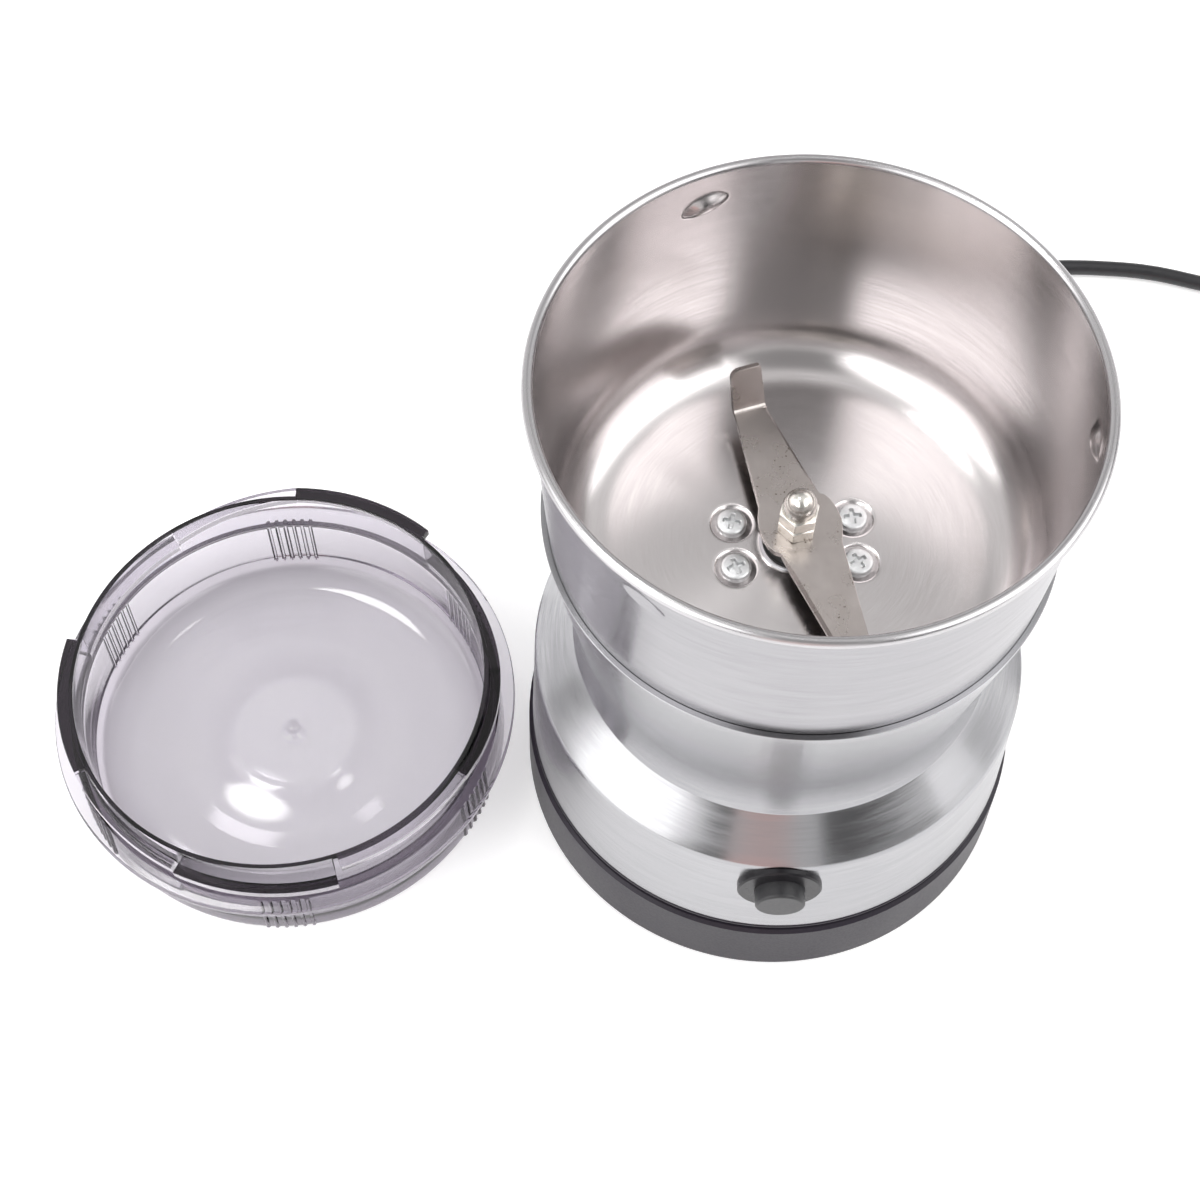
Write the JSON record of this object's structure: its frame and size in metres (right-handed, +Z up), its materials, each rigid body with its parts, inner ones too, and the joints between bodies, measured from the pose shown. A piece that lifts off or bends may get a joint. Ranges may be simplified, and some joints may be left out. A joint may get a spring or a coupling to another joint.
{
  "type": "electric spice grinder",
  "caption": "Electric spice grinder: steel bowl with a bent-tip blade, waisted steel housing on a dark base, push button, power cord and a clear lid set upside down beside it.",
  "frame": {"origin": "on the table plane, on the axis of the motor, under the middle of the bowl", "axes": "+Z up along the motor's axis; -Y towards the front, where the button is; the lid lies towards -X, the coiled cord towards +X"},
  "size_m": [0.3568, 0.1997, 0.1463],
  "materials": {
    "bowl_steel": "brushed round the axis inside",
    "shell_steel": "bright, fine brushing round the axis",
    "blade_steel": "satin, ground edges",
    "nut_steel": "polished",
    "shaft_steel": "turned",
    "zinc_screws": "bright zinc",
    "base_plastic": "satin",
    "switch_plastic": "semi gloss",
    "button_plastic": "satin",
    "lid_clear": "clear, smoky",
    "cord_rubber": "satin",
    "plug_plastic": "fine grain",
    "tie_plastic": "satin",
    "pin_brass": "nickel flashed",
    "foot_rubber": "matte",
    "seal_rubber": "matte",
    "cast_bracket": "die cast",
    "phenolic": "moulded",
    "core_steel": "laminated, lacquered",
    "coil_wire": "lacquered copper wire",
    "bronze": "sintered",
    "brass_parts": "pressed sheet",
    "carbon": "pressed carbon",
    "spring_steel": "bright wire",
    "commutator_copper": "turned copper",
    "fan_plastic": "moulded",
    "lead_sheath": "satin"
  },
  "bodies": {
    "housing": {"bowl": "bowl_steel", "bowl_screws": "zinc_screws", "shaft_seal": "seal_rubber", "housing_shell": "shell_steel", "base": "base_plastic", "rubber_feet": "foot_rubber", "base_screws": "zinc_screws", "motor_dampers": "foot_rubber", "motor_top_bracket": "cast_bracket", "motor_end_frame": "phenolic", "motor_bolts": "zinc_screws", "stator_core": "core_steel", "field_coils": "coil_wire", "top_bearing": "bronze", "bottom_bearing": "bronze", "brush_holders": "brass_parts", "carbon_brushes": "carbon", "brush_springs": "spring_steel", "switch_bezel": "switch_plastic", "switch_body": "phenolic", "button_spring": "spring_steel", "cord_grommet": "cord_rubber", "cord_clamp": "base_plastic", "clamp_screws": "zinc_screws", "inner_leads": "lead_sheath", "cord": "cord_rubber", "cord_coil": "cord_rubber", "cord_ties": "tie_plastic", "plug": "plug_plastic", "plug_pins": "pin_brass"},
    "rotor": {"shaft": "shaft_steel", "blade_collar": "shaft_steel", "armature_core": "core_steel", "armature_windings": "coil_wire", "commutator": "commutator_copper", "cooling_fan": "fan_plastic", "blade": "blade_steel", "blade_nut": "nut_steel", "cap_nut": "nut_steel"},
    "button": {"button": "button_plastic"},
    "lid": {"lid": "lid_clear"}
  },
  "joints": [
    {"name": "motor_turn", "type": "hinge", "parent": "housing", "child": "rotor", "pos_m": [0, 0, 0.05], "axis": [0, 0, 1], "continuous": true},
    {"name": "button_press", "type": "slide", "parent": "housing", "child": "button", "axis": [0, 1, 0], "range_m": [0, 0.0025], "stiffness_N_per_m": 1200, "springref_m": -0.0015, "deforming": ["button_spring"]},
    {"name": "lid_lift", "type": "slide", "parent": "housing", "child": "lid", "axis": [0, 0, 1], "range_m": [0, 0.15]}
  ]
}
